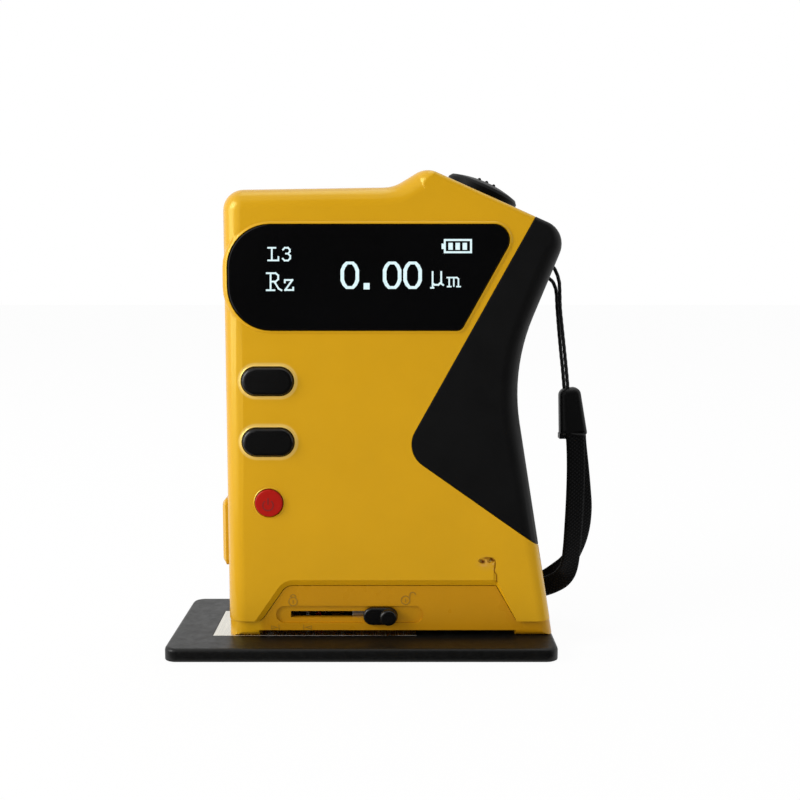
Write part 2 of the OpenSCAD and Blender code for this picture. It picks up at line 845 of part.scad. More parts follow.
module charge_socket() {
    color("silver")
        difference() {
            block(left + 0.5, left + 6.5, board_y + board_t + fit, board_y + board_t + 2.8, socket_z - 3.9,
                socket_z + 3.9);
            block(left - 1, left + 5, board_y + board_t + 0.45, board_y + board_t + 2.4, socket_z - 3.4,
                socket_z + 3.4);
        }
}

module socket_cover() {
    z0 = socket_z - cover_h / 2;
    z1 = socket_z + cover_h / 2;
    color("gold")
        difference() {
            union() {
                hull() {
                    for (y = [-3.4, 4.6], z = [z0 + 1.6, z1 - 1.6])
                        rod_x(1.6, left - 0.9, left - 0.1, y, z);
                    for (y = [-2.6, 4.6], z = [z0 + 2.2, z1 - 2.2])
                        rod_x(1.2, left - 1.7, left - 0.1, y, z);
                }
                block(left - 1.5, left - 0.1, 4.4, hinge_y, z0, z1);
                rod_up(1, z0, z1, hinge_x, hinge_y);
            }
            block(left - 0.8, left + 1, -3.4, 4.2, z0 + 2.4, z1 - 2.4);
        }
}

module lock_knob() {
    color("black")
        union() {
            pad(pill(knob_x, slot_z - 0.2, knob_w, knob_h, 0.6), 0, panel_y - 1.1, panel_y - 0.1, 3);
            pad(pill(knob_x + knob_w / 2 - 2.22, slot_z - 0.2, 4, knob_h - 0.44, 0.7), 0, panel_y - 2.4,
                panel_y - 0.4, 3);
            block(stem_x - stem_w / 2, stem_x + stem_w / 2, panel_y - 0.6, plate_y, slot_z - slot_h / 2 + 0.1,
                slot_z + slot_h / 2 - 0.1);
        }
}

// One folded sheet: an upright leaf behind the slot and a fork over the measuring opening
module lock_plate() {
    y1 = 8;
    gap = 2.1;
    color("silver")
        difference() {
            union() {
                block(knob_x - 6.6, knob_x + 9.7, plate_y, plate_y + blade_t, blade_z, slot_z + 1.4);
                block(knob_x - 8.9, knob_x + 9.7, plate_y, y1, blade_z, blade_z + blade_t);
            }
            block(knob_x - 20, knob_x + 5.2, drive_y - gap, drive_y + gap, 0, blade_z + 3);
        }
}

module drive_frame() {
    y0 = drive_y - 6;
    y1 = drive_y + 6;
    color("dimgray")
        difference() {
            union() {
                block(end_l - end_t, end_l, y0, y1, pickup_z + 3.8, rod_z + 4);
                block(end_l - end_t, end_r + end_t, y0, y1, rod_z + 2.8, rod_z + 4);
                block(end_r, end_r + end_t, y0, y1, floor_z + fit, rod_z + 4);
                block(end_r, gear_x + 18, y0, y1, floor_z + fit, rod_z - 5 - fit);
            }
            for (y = [-rod_y, rod_y])
                rod_x(rod_d / 2 + fit, end_l - end_t - 1, end_r + end_t - 0.3, drive_y + y, rod_z);
            rod_x(screw_d / 2 + 0.08, end_l - end_t - 1, end_r + end_t + 1, drive_y, rod_z);
            block(gear_x + 7, gear_x + 12, y0 - 1, y1 + 1, floor_z + 1.6, rod_z - 3);
            for (x = [gear_x + 4.5, gear_x + 14.5])
                rod_up(0.85, 0, floor_z + 4.6, x, drive_y);
        }
}

module guide_rods() {
    color("silver")
        for (y = [-rod_y, rod_y])
            rod_x(rod_d / 2, end_l - end_t, end_r + end_t - 0.35, drive_y + y, rod_z);
}

module gearbox() {
    color("khaki")
        difference() {
            block(gear_x + fit, motor_x, drive_y - 6, drive_y + 6, rod_z - 5, rod_z + 5);
            rod_x(screw_d / 2 + 0.08, gear_x - 1, gear_x + 2.6, drive_y, rod_z);
        }
}

module drive_motor() {
    color("silver")
        union() {
            intersection() {
                rod_x(6, motor_x + fit, motor_x + 9.6, drive_y, rod_z);
                block(motor_x, motor_x + 20, drive_y - 6, drive_y + 6, rod_z - 5, rod_z + 5);
            }
            rod_x(2.4, motor_x + 9, motor_x + 10.4, drive_y, rod_z);
        }
}

module lead_screw() {
    color("silver")
        rod_x(screw_d / 2, end_l - end_t, gear_x + 2.4, drive_y, rod_z);
}

module drive_nut() {
    color("gold")
        difference() {
            rod_x(2.3, car_x + 1, car_x + car_w - 1, drive_y, rod_z);
            rod_x(screw_d / 2 + 0.06, car_x, car_x + car_w, drive_y, rod_z);
        }
}

module carriage() {
    color("dimgray")
        difference() {
            union() {
                block(car_x, car_x + car_w, drive_y - 5.6, drive_y + 5.6, rod_z - 2.4, rod_z + 2.4);
                block(car_x + 1, car_x + car_w - 1, drive_y - 2.6, drive_y + 2.6, pickup_z, rod_z - 2);
                rod_x(pickup_d / 2 + 0.9, car_x + 1, car_x + car_w - 1, drive_y, pickup_z);
            }
            rod_x(2.3 + fit, car_x - 1, car_x + car_w + 1, drive_y, rod_z);
            for (y = [-rod_y, rod_y])
                rod_x(rod_d / 2 + 0.06, car_x - 1, car_x + car_w + 1, drive_y + y, rod_z);
            rod_x(pickup_d / 2 + fit, car_x - 1, car_x + car_w + 1, drive_y, pickup_z);
        }
}

module pickup() {
    color("silver")
        difference() {
            union() {
                rod_x(pickup_d / 2, pickup_x, car_x + car_w - 0.4, drive_y, pickup_z);
                block(pickup_x - 3.6, pickup_x + 2, drive_y - 1.1, drive_y + 1.1, arm_z - 2, arm_z - 0.9);
            }
            block(pickup_x - 1, pickup_x + 2.8, drive_y - 1.3, drive_y + 1.3, arm_z - 0.75, arm_z + 1.5);
            rod_along_y(0.4 + fit, -big, big, pivot_x, arm_z);
        }
}

module skid() {
    color("firebrick")
        union() {
            translate([pickup_x - 2.9, drive_y, 1.22])
                sphere(r = 1.2);
            rod_up(0.55, 1.2, arm_z - 2 - fit, pickup_x - 2.9, drive_y);
        }
}

module stylus_arm() {
    color("silver")
        difference() {
            union() {
                rod_along_y(0.7, drive_y - 1.1, drive_y + 1.1, pivot_x, arm_z);
                rod_x(0.45, stylus_x - 0.6, pivot_x, drive_y, arm_z);
                rod_up(0.45, 1.6, arm_z, stylus_x, drive_y);
            }
            rod_along_y(0.4 + fit, -big, big, pivot_x, arm_z);
        }
}

module stylus_tip() {
    color("white")
        translate([stylus_x, drive_y, 0.03])
            cylinder(r1 = 0.05, r2 = 0.45, h = 1.6 - fit);
}

module stylus_pin() {
    color("silver")
        rod_along_y(0.4, drive_y - 2.4, drive_y + 2.4, pivot_x, arm_z);
}

module case_screws() {
    color("dimgray")
        for (p = case_points)
            difference() {
                union() {
                    rod_along_y(0.82, -6, rear - 2.5, p[0], p[1]);
                    rod_along_y(1.9, rear - 2, rear - 0.7, p[0], p[1]);
                    rod_along_y(0.82, rear - 3, rear - 1.8, p[0], p[1]);
                }
                translate([p[0], rear - 1.2, p[1]])
                    cube([2.2, 1.4, 0.5], center = true);
                translate([p[0], rear - 1.2, p[1]])
                    cube([0.5, 1.4, 2.2], center = true);
            }
}

module base_screws() {
    color("dimgray")
        for (p = base_points)
            difference() {
                union() {
                    rod_up(0.82, 0.3, 7.2, p[0], p[1]);
                    rod_up(1.7, 0.1, 0.9, p[0], p[1]);
                }
                translate([p[0], p[1], 0.1])
                    cube([2, 0.45, 0.8], center = true);
                translate([p[0], p[1], 0.1])
                    cube([0.45, 2, 0.8], center = true);
            }
}

module board_screws() {
    y0 = board_y + board_t;
    color("silver")
        for (p = board_points) {
            rod_along_y(0.67, board_y - 4, y0 + 0.5, p[0], p[1]);
            rod_along_y(1.6, y0 + fit, y0 + 1.1, p[0], p[1]);
        }
}

module drive_screws() {
    color("silver")
        for (x = [gear_x + 4.5, gear_x + 14.5]) {
            rod_up(0.82, base_gap - 0.6, floor_z + 4, x, drive_y);
            rod_up(1.8, base_gap - 1.1, base_gap - fit, x, drive_y);
        }
}

module lanyard_bar() {
    color("silver")
        on_back()
            rod_along_y(bar_d / 2, -4.4, 4.4, -bar_in, 0);
}

module strap_cord() {
    p = smooth(cord_route, 1);
    rings = [for (i = [0:len(p) - 1])
        let (t = along(p, i), s = unit(cross(t, [0, 1, 0])), q = cross(t, s))
        [for (k = [0:7]) p[i] + (s * cos(45 * k) + q * sin(45 * k)) * cord_d / 2]];
    color("black")
        skin(rings);
}

module strap_clasp() {
    o = outline([[47.6, 45.6, 0.8, 1.3, 1.3], [54.4, 45.7, 0.8, 1.3, 1.3], [52.3, 57.6, 1.8, 1.3, 1.3],
        [47.3, 57, 1.8, 1.3, 1.3]]);
    color("black")
        union() {
            slab(o, 0, 1.9, 6.1, 3);
            block(47.5, 49.2, 2.5, 5.5, 44.95, 46.2);
        }
}

module strap_webbing() {
    p = smooth(web_route, 2);
    a = web_w / 2;
    b = web_t / 2;
    section = [[-a, -b * 0.5], [-a + 0.3, -b], [a - 0.3, -b], [a, -b * 0.5], [a, b * 0.5], [a - 0.3, b],
        [-a + 0.3, b], [-a, b * 0.5]];
    rings = [for (i = [0:len(p) - 1])
        let (t = along(p, i), h = min(max((p[i][2] - web_turn_low) / (web_turn_high - web_turn_low), 0), 1))
        let (m = h * h * (3 - 2 * h), w = web_side * m + [0, 0, -1] * (1 - m), s = unit(w - t * (w * t)))
        let (q = cross(t, s))
        [for (c = section) p[i] + s * c[0] + q * c[1]]];
    color("black")
        skin(rings);
}

module reference_plate() {
    w = plate_w / 2;
    d = plate_d / 2;
    o = outline([[-w, -d, plate_r, 0.8, 0.8], [w, -d, plate_r, 0.8, 0.8], [w, d, plate_r, 0.8, 0.8],
        [-w, d, plate_r, 0.8, 0.8]]);
    color("darkslategray")
        difference() {
            rotate([-90, 0, 0])
                pad(o, 0, -plate_t, 0, 3);
            block(specimen_x, specimen_x + specimen_w, body_y - specimen_d / 2, body_y + specimen_d / 2,
                plate_t - specimen_t, plate_t + 1);
        }
}

module specimen() {
    color("lightgray")
        block(specimen_x + fit, specimen_x + specimen_w - fit, body_y - specimen_d / 2 + fit,
            body_y + specimen_d / 2 - fit, plate_t - specimen_t, plate_t);
}

on_plate() front_shell();
on_plate() rear_shell();
on_plate() bottom_cover();
on_plate() grip();
on_plate() display_window();
on_plate() display_glass();
on_plate() display_holder();
on_plate() upper_key();
on_plate() lower_key();
on_plate() power_key();
on_plate() start_button();
on_plate() main_board();
on_plate() key_switches();
on_plate() start_board();
on_plate() start_switch();
on_plate() battery();
on_plate() charge_socket();
on_plate() socket_cover();
on_plate() lock_knob();
on_plate() lock_plate();
on_plate() drive_frame();
on_plate() guide_rods();
on_plate() drive_motor();
on_plate() gearbox();
on_plate() lead_screw();
on_plate() drive_nut();
on_plate() carriage();
on_plate() pickup();
on_plate() skid();
on_plate() stylus_arm();
on_plate() stylus_tip();
on_plate() stylus_pin();
on_plate() case_screws();
on_plate() base_screws();
on_plate() board_screws();
on_plate() drive_screws();
on_plate() lanyard_bar();
on_plate() strap_cord();
on_plate() strap_clasp();
on_plate() strap_webbing();
reference_plate();
specimen();
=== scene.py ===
import json
import math

import bmesh
import bpy
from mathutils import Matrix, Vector


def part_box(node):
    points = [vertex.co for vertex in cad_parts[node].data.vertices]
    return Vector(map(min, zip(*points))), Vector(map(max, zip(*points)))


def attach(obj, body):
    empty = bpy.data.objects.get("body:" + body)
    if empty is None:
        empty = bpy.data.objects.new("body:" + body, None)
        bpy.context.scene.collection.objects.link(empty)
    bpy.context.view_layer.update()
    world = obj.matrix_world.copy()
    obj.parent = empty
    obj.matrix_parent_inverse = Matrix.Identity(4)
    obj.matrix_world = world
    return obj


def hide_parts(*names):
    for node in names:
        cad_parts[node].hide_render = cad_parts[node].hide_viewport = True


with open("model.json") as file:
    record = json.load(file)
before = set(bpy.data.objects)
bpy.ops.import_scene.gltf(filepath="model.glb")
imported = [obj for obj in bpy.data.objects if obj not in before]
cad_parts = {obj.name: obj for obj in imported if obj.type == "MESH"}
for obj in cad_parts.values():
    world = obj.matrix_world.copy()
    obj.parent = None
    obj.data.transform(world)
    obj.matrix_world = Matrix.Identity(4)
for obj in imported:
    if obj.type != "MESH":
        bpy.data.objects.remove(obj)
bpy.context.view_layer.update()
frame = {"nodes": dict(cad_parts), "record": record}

MM = 0.001
# Places in mm: thickness of the plate, parting plane of the shells, front face, recessed panel
PLATE_T = 3
BODY_Y = -0.8
FACE_Y = BODY_Y - 11
PANEL_Y = FACE_Y + 1
scene = bpy.context.scene
scene.view_settings.view_transform = "Standard"
nodes = frame["nodes"]
bodies = frame["record"]["behaviour"]["bodies"]
body_of_node = {node: body for body, members in bodies.items() for node in members}

# ---------------------------------------------------------------- camera
# Sizes in pixels: the photo, the shift of the camera's axis from its middle, the focal length
PICTURE = 800
SHIFT = 3
FOCAL = 1091.0
SENSOR = 36
TILT = math.radians(6.137)
EYE = Vector((8.152, -259.9, 85.56)) * MM
camera_data = bpy.data.cameras.new("camera")
camera = bpy.data.objects.new("camera", camera_data)
scene.collection.objects.link(camera)
camera.location = EYE
camera.rotation_euler = (math.pi / 2 - TILT, 0, 0)
camera_data.sensor_width = SENSOR
camera_data.lens = SENSOR * FOCAL / PICTURE
camera_data.shift_x = SHIFT / PICTURE
camera_data.clip_start = 0.01
scene.camera = camera


def seen(u, v, y):
    """Point of the upright plane y, in mm, that stands at picture place u, v."""
    a = (u - (PICTURE / 2 - SHIFT)) / FOCAL
    b = (PICTURE / 2 - v) / FOCAL
    reach = (y * MM - EYE.y) / (math.cos(TILT) + b * math.sin(TILT))
    rise = (b * math.cos(TILT) - math.sin(TILT)) * reach
    return Vector((EYE.x + a * reach, y * MM, EYE.z + rise))


# ---------------------------------------------------------------- materials
def tree_of(name):
    material = bpy.data.materials.new(name)
    material.use_nodes = True
    tree = material.node_tree
    bsdf = tree.nodes["Principled BSDF"]
    coords = tree.nodes.new("ShaderNodeTexCoord")
    return material, tree, bsdf, coords.outputs["Object"]


def noise(tree, vector, scale, detail=3.0, rough=0.55):
    n = tree.nodes.new("ShaderNodeTexNoise")
    n.inputs["Scale"].default_value = scale
    n.inputs["Detail"].default_value = detail
    n.inputs["Roughness"].default_value = rough
    tree.links.new(vector, n.inputs["Vector"])
    return n.outputs["Fac"]


def ramp(tree, fac, stops):
    r = tree.nodes.new("ShaderNodeValToRGB")
    while len(r.color_ramp.elements) < len(stops):
        r.color_ramp.elements.new(0.5)
    for e, (place, colour) in zip(r.color_ramp.elements, stops):
        e.position = place
        e.color = (*colour, 1)
    tree.links.new(fac, r.inputs["Fac"])
    return r.outputs["Color"]


def spread(tree, fac, low, high, a=0.3, b=0.7):
    m = tree.nodes.new("ShaderNodeMapRange")
    m.inputs["From Min"].default_value = a
    m.inputs["From Max"].default_value = b
    m.inputs["To Min"].default_value = low
    m.inputs["To Max"].default_value = high
    tree.links.new(fac, m.inputs["Value"])
    return m.outputs["Result"]


def bump(tree, bsdf, height, distance):
    b = tree.nodes.new("ShaderNodeBump")
    b.inputs["Distance"].default_value = distance
    tree.links.new(height, b.inputs["Height"])
    tree.links.new(b.outputs["Normal"], bsdf.inputs["Normal"])


def vector_math(tree, operation, first, second=(0, 0, 0), output="Vector"):
    n = tree.nodes.new("ShaderNodeVectorMath")
    n.operation = operation
    n.inputs[1].default_value = second
    tree.links.new(first, n.inputs[0])
    return n.outputs[output]


def overlaid(tree, factor, under, colour):
    """The socket under, with a fixed colour laid over it by a factor."""
    mix = tree.nodes.new("ShaderNodeMix")
    mix.data_type = "RGBA"
    mix.inputs["B"].default_value = (*colour, 1)
    tree.links.new(factor, mix.inputs["Factor"])
    tree.links.new(under, mix.inputs["A"])
    return mix.outputs["Result"]


def copy_of(source, name):
    """A copy of a material: itself, its tree, its shader and its object coordinates."""
    material = source.copy()
    material.name = name
    tree = material.node_tree
    coords = next(n for n in tree.nodes if n.type == "TEX_COORD")
    return material, tree, tree.nodes["Principled BSDF"], coords.outputs["Object"]


def stretched(tree, vector, scale):
    m = tree.nodes.new("ShaderNodeMapping")
    m.inputs["Scale"].default_value = scale
    tree.links.new(vector, m.inputs["Vector"])
    return m.outputs["Vector"]


def shade(colour, k):
    return tuple(c * k for c in colour)


def moulded(name, colour, rough, vary=0.06, grain=2600, depth=4e-6, coat=0.0, specular=0.5,
            blotch=60, tint=(1, 1, 1)):
    """Moulded plastic: slow changes of tone and gloss over a fine grain."""
    material, tree, bsdf, at = tree_of(name)
    slow = noise(tree, at, blotch, 4)
    tone = ramp(tree, slow, [(0.3, shade(colour, 1 - vary)), (0.7, shade(colour, 1 + vary))])
    tree.links.new(tone, bsdf.inputs["Base Color"])
    gloss = spread(tree, noise(tree, at, 160, 2), rough * 0.95, rough * 1.06)
    tree.links.new(gloss, bsdf.inputs["Roughness"])
    bump(tree, bsdf, noise(tree, at, grain, 2), depth)
    bsdf.inputs["Specular IOR Level"].default_value = specular
    bsdf.inputs["Specular Tint"].default_value = (*tint, 1)
    bsdf.inputs["Coat Weight"].default_value = coat
    bsdf.inputs["Coat Roughness"].default_value = 0.06
    return material


def metal(name, colour, rough):
    """Metal with fine drawn or ground lines."""
    material, tree, bsdf, at = tree_of(name)
    bsdf.inputs["Metallic"].default_value = 1.0
    streak = noise(tree, stretched(tree, at, (60, 2400, 2400)), 1.0, 4)
    tone = ramp(tree, streak, [(0.25, shade(colour, 0.88)), (0.75, shade(colour, 1.06))])
    tree.links.new(tone, bsdf.inputs["Base Color"])
    tree.links.new(spread(tree, streak, rough * 0.75, rough * 1.3), bsdf.inputs["Roughness"])
    bump(tree, bsdf, streak, 3e-6)
    return material


YELLOW = (0.660, 0.338, 0.0056)
# The cover's yellow is a darker, more orange copy of the shell's yellow: painted shade of the recessed panel and
# feet.
SHADED_YELLOW = (0.55, 0.245, 0.0035)
GLOSS = (0.74, 1.0, 0.32)
yellow = moulded("yellow_plastic", YELLOW, 0.25, vary=0.03, grain=1900, depth=3e-6, coat=0.10,
                 specular=0.7, tint=GLOSS)
cover_yellow_shaded = moulded("cover_yellow_painted_shade", SHADED_YELLOW, 0.28, vary=0.035, grain=1900, coat=0.08,
                       tint=GLOSS)
# The moulded signs are the shell's yellow at half brightness: painted shade of their raised strokes.
sign_yellow_shaded = moulded("moulded_mark_painted_shade", shade(YELLOW, 0.50), 0.4, vary=0.08, grain=3000)
rubber = moulded("grip_rubber", (0.0030, 0.0030, 0.0032), 0.50, vary=0.18, grain=5200, depth=12e-6,
                 specular=0.22, blotch=90)
window = moulded("window_black", (0.0016, 0.0016, 0.0018), 0.07, vary=0.25, grain=900, depth=4e-7,
                 specular=0.36, blotch=30)
black = moulded("black_plastic", (0.0026, 0.0025, 0.0025), 0.22, vary=0.15, coat=0.05, specular=0.32)
button_black = moulded("button_black", (0.0025, 0.0025, 0.0026), 0.46, vary=0.15, grain=3600,
                       depth=10e-6, specular=0.10)
clasp_black = moulded("clasp_black", (0.0030, 0.0030, 0.0031), 0.45, vary=0.15, grain=3200, depth=8e-6,
                      specular=0.25)
red = moulded("red_plastic", (0.40, 0.006, 0.003), 0.28, coat=0.06, specular=0.4, tint=(1, 0.45, 0.40))
red_mark = moulded("red_mark", (0.20, 0.005, 0.004), 0.4, vary=0.10, depth=3e-6)
white_frame = moulded("white_frame", (0.70, 0.70, 0.68), 0.4, vary=0.03)
glass = moulded("display_glass", (0.006, 0.010, 0.016), 0.05, vary=0.2, grain=700, depth=3e-7)
board = moulded("circuit_board", (0.010, 0.110, 0.035), 0.35, vary=0.15, grain=1500, depth=10e-6)
switch_grey = moulded("switch_body", (0.05, 0.05, 0.052), 0.4, vary=0.1)
battery_foil = moulded("battery_foil", (0.42, 0.44, 0.47), 0.3, grain=900, depth=20e-6, blotch=300)
ruby = moulded("ruby", (0.42, 0.006, 0.012), 0.05, vary=0.1)
diamond = moulded("diamond", (0.55, 0.57, 0.60), 0.04, vary=0.1)
steel = metal("steel", (0.56, 0.56, 0.55), 0.30)
drive_metal = metal("drive_metal", (0.46, 0.47, 0.49), 0.38)
brass = metal("brass", (0.62, 0.43, 0.16), 0.30)


# Painted shade and highlights of the chip in the front: a broad greyer tone round it, pale marks that are painted
# highlights on the lower lips of its pits, and dark marks that are painted shade in its pits, in the arc above them
# and along its crack. Columns: picture place, reach across and up in pixels, share, colour
CHIP_SHADE_AND_HIGHLIGHTS = [
    (486, 562.5, 10.5, 8.5, 0.30, (0.58, 0.30, 0.055)),
    (486.6, 561.8, 3.0, 2.4, 0.60, (0.66, 0.34, 0.075)),
    (483.6, 565.3, 4.0, 1.7, 0.55, (0.66, 0.34, 0.085)),
    (493.4, 563.9, 1.8, 1.5, 0.65, (0.66, 0.36, 0.090)),
    (494.2, 569.2, 2.0, 1.8, 0.45, (0.62, 0.34, 0.070)),
    (487.6, 558.1, 6.8, 1.5, 0.85, (0.22, 0.070, 0.0005)),
    (482.8, 561.9, 2.9, 2.6, 0.98, (0.095, 0.008, 0.0001)),
    (492.3, 560.2, 2.9, 2.5, 0.96, (0.120, 0.016, 0.0001)),
    (496.6, 578.4, 1.5, 7.0, 0.55, (0.34, 0.140, 0.001)),
]


# Half sizes of a long key, and where the painted highlight on its rim begins and ends to fade beyond them, in mm
KEY_HALF_W, KEY_HALF_H = 5.95, 3.25
RIM_HIGHLIGHT_FADE = 0.75, 1.1
# Pixels of the photo to a metre at the front face
FACE_SCALE = 4400
# Width of the left foot, which keeps the shell's yellow in place of the cover's painted shade, and of the change of
# tone beside it, in mm
LEFT_FOOT, FOOT_FADE = 7.4, 1.2


def rim_highlight(tree, at, colour, key):
    """Painted highlight on the raised rim around a long key: a paler ring laid over the colour."""
    low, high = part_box(key)
    half = KEY_HALF_H * MM
    off = vector_math(tree, "SUBTRACT", at, (low + high) / 2)
    past = vector_math(tree, "SUBTRACT", vector_math(tree, "ABSOLUTE", off), (KEY_HALF_W * MM - half, 1, 0))
    far = vector_math(tree, "LENGTH", vector_math(tree, "MAXIMUM", past), output="Value")
    rim = spread(tree, far, 0.9, 0.0, *(half + fade * MM for fade in RIM_HIGHLIGHT_FADE))
    return overlaid(tree, rim, colour, (0.78, 0.51, 0.12))


def chipped_plastic():
    """The front's yellow with the painted shade and highlights of the chip and the painted highlights on the keys'
    rims.
    """
    material, tree, bsdf, at = copy_of(yellow, "yellow_front_plastic")
    ragged = noise(tree, at, 1500, 3)
    colour = bsdf.inputs["Base Color"].links[0].from_socket
    # Each row of the chip table is laid over the colour as painted shade and highlight.
    for u, v, across, up, share, tint in CHIP_SHADE_AND_HIGHLIGHTS:
        place = tree.nodes.new("ShaderNodeMapping")
        place.vector_type = "TEXTURE"
        place.inputs["Location"].default_value = seen(u, v, FACE_Y)
        place.inputs["Scale"].default_value = (across / FACE_SCALE, 0.002, up / FACE_SCALE)
        tree.links.new(at, place.inputs["Vector"])
        far = vector_math(tree, "LENGTH", place.outputs["Vector"], output="Value")
        edge = tree.nodes.new("ShaderNodeMath")
        edge.operation = "MULTIPLY_ADD"
        edge.inputs[1].default_value = 0.7
        tree.links.new(ragged, edge.inputs[0])
        tree.links.new(far, edge.inputs[2])
        colour = overlaid(tree, spread(tree, edge.outputs["Value"], share, 0.0, 0.8, 1.5), colour, tint)
    # Painted highlights on the raised rims round the long keys.
    for key in ("upper_key", "lower_key"):
        colour = rim_highlight(tree, at, colour, key)
    tree.links.new(colour, bsdf.inputs["Base Color"])
    return material


def cover_with_shade_and_lit_foot():
    """The cover's yellow with painted shade, except the left foot, which is painted as bright as the lit shell
    above it.
    """
    material, tree, bsdf, at = copy_of(cover_yellow_shaded, "cover_yellow_shade_lit_foot")
    split = tree.nodes.new("ShaderNodeSeparateXYZ")
    tree.links.new(at, split.inputs["Vector"])
    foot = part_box("bottom_cover")[0].x + LEFT_FOOT * MM
    # Painted light on the left foot: it takes the shell's yellow in place of the cover's painted shade.
    bright = spread(tree, split.outputs["X"], 1.0, 0.0, foot, foot + FOOT_FADE * MM)
    deep = bsdf.inputs["Base Color"].links[0].from_socket
    tree.links.new(overlaid(tree, bright, deep, YELLOW), bsdf.inputs["Base Color"])
    return material


def plate_finish():
    """Dark speckled finish of the plate."""
    material, tree, bsdf, at = tree_of("plate_black")
    speck = noise(tree, at, 2200, 3, 0.7)
    stops = [(0.35, (0.0022, 0.0022, 0.0020)), (0.62, (0.0052, 0.0052, 0.0049)), (0.8, (0.016, 0.016, 0.015))]
    tree.links.new(ramp(tree, speck, stops), bsdf.inputs["Base Color"])
    tree.links.new(spread(tree, noise(tree, at, 500, 4), 0.34, 0.46), bsdf.inputs["Roughness"])
    bump(tree, bsdf, speck, 30e-6)
    bsdf.inputs["Specular IOR Level"].default_value = 0.26
    return material


def specimen_finish():
    """Ground metal whose furrows run across the traverse."""
    material, tree, bsdf, at = tree_of("specimen_metal")
    bsdf.inputs["Metallic"].default_value = 1.0
    furrow = noise(tree, stretched(tree, at, (9000, 120, 120)), 1.0, 2)
    tone = ramp(tree, furrow, [(0.3, (0.62, 0.595, 0.53)), (0.7, (0.82, 0.785, 0.70))])
    tree.links.new(tone, bsdf.inputs["Base Color"])
    tree.links.new(spread(tree, furrow, 0.16, 0.32), bsdf.inputs["Roughness"])
    bump(tree, bsdf, furrow, 6e-6)
    return material


def lit(name):
    """The glowing dots of the display."""
    material, tree, bsdf, at = tree_of(name)
    bsdf.inputs["Base Color"].default_value = (0.02, 0.03, 0.035, 1)
    bsdf.inputs["Roughness"].default_value = 0.3
    dots = noise(tree, at, 2600, 1)
    tone = ramp(tree, dots, [(0.25, (0.62, 0.86, 0.90)), (0.6, (0.80, 0.97, 0.99))])
    tree.links.new(tone, bsdf.inputs["Emission Color"])
    bsdf.inputs["Emission Strength"].default_value = 1.0
    return material


def woven(name):
    """Nylon webbing: crossing threads from the strip's own UV, in bump and tone."""
    material, tree, bsdf, _ = tree_of(name)
    uv = next(n for n in tree.nodes if n.type == "TEX_COORD").outputs["UV"]

    def wave(turn):
        m = tree.nodes.new("ShaderNodeMapping")
        m.inputs["Rotation"].default_value = (0, 0, math.radians(turn))
        tree.links.new(uv, m.inputs["Vector"])
        w = tree.nodes.new("ShaderNodeTexWave")
        w.inputs["Scale"].default_value = 420
        w.inputs["Distortion"].default_value = 0.6
        w.inputs["Detail"].default_value = 1.0
        tree.links.new(m.outputs["Vector"], w.inputs["Vector"])
        return w.outputs["Fac"]

    both = tree.nodes.new("ShaderNodeMath")
    both.operation = "MULTIPLY"
    tree.links.new(wave(52), both.inputs[0])
    tree.links.new(wave(-52), both.inputs[1])
    weave = both.outputs["Value"]
    tone = ramp(tree, weave, [(0.0, (0.0008, 0.0008, 0.0009)), (0.7, (0.0034, 0.0034, 0.0036))])
    tree.links.new(tone, bsdf.inputs["Base Color"])
    tree.links.new(spread(tree, weave, 0.75, 0.55, 0.0, 1.0), bsdf.inputs["Roughness"])
    bump(tree, bsdf, weave, 100e-6)
    bsdf.inputs["Specular IOR Level"].default_value = 0.10
    bsdf.inputs["Sheen Weight"].default_value = 0.01
    bsdf.inputs["Sheen Roughness"].default_value = 0.5
    return material


def braided(name):
    """Fuzzy thread of the braided cord."""
    material, tree, bsdf, at = tree_of(name)
    fuzz = noise(tree, at, 3200, 3)
    tone = ramp(tree, fuzz, [(0.3, (0.0015, 0.0015, 0.0016)), (0.7, (0.0055, 0.0055, 0.0058))])
    tree.links.new(tone, bsdf.inputs["Base Color"])
    tree.links.new(spread(tree, fuzz, 0.55, 0.75), bsdf.inputs["Roughness"])
    bump(tree, bsdf, fuzz, 40e-6)
    return material


yellow_front = chipped_plastic()
cover_finish_shaded = cover_with_shade_and_lit_foot()
plate_black = plate_finish()
specimen_metal = specimen_finish()
readout = lit("readout_light")
webbing_cloth = woven("webbing")
cord_cloth = braided("cord_braid")
chip_dark = moulded("chip_shadow", (0.20, 0.070, 0.001), 0.6, vary=0.2, grain=3000, depth=10e-6, specular=0.05)

SLOT_FINISH = {
    "yellow_shell": yellow,
    "grip_rubber": rubber,
    "window_black": window,
    "display_glass": glass,
    "white_frame": white_frame,
    "black_plastic": black,
    "red_plastic": red,
    "circuit_board": board,
    "switch_body": switch_grey,
    "battery_foil": battery_foil,
    "steel": steel,
    "drive_metal": drive_metal,
    "brass_parts": brass,
    "ruby": ruby,
    "diamond": diamond,
    "strap_cord": cord_cloth,
    "strap_webbing": webbing_cloth,
    "plate_black": plate_black,
    "specimen_metal": specimen_metal,
}
slot_of_node = {s["node"]: s["material_slot"] for s in frame["record"]["subparts"]}
for name, obj in nodes.items():
    obj.data.materials.clear()
    obj.data.materials.append(SLOT_FINISH[slot_of_node[name]])


# ---------------------------------------------------------------- pieces
def piece(name, bm, material, body, stands_for=()):
    mesh = bpy.data.meshes.new(name)
    bm.to_mesh(mesh)
    bm.free()
    mesh.materials.append(material)
    obj = bpy.data.objects.new(name, mesh)
    scene.collection.objects.link(obj)
    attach(obj, body)
    if stands_for:
        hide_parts(*stands_for)
    return obj


SHARP = math.radians(31)  # edges that turn by more than this are softened


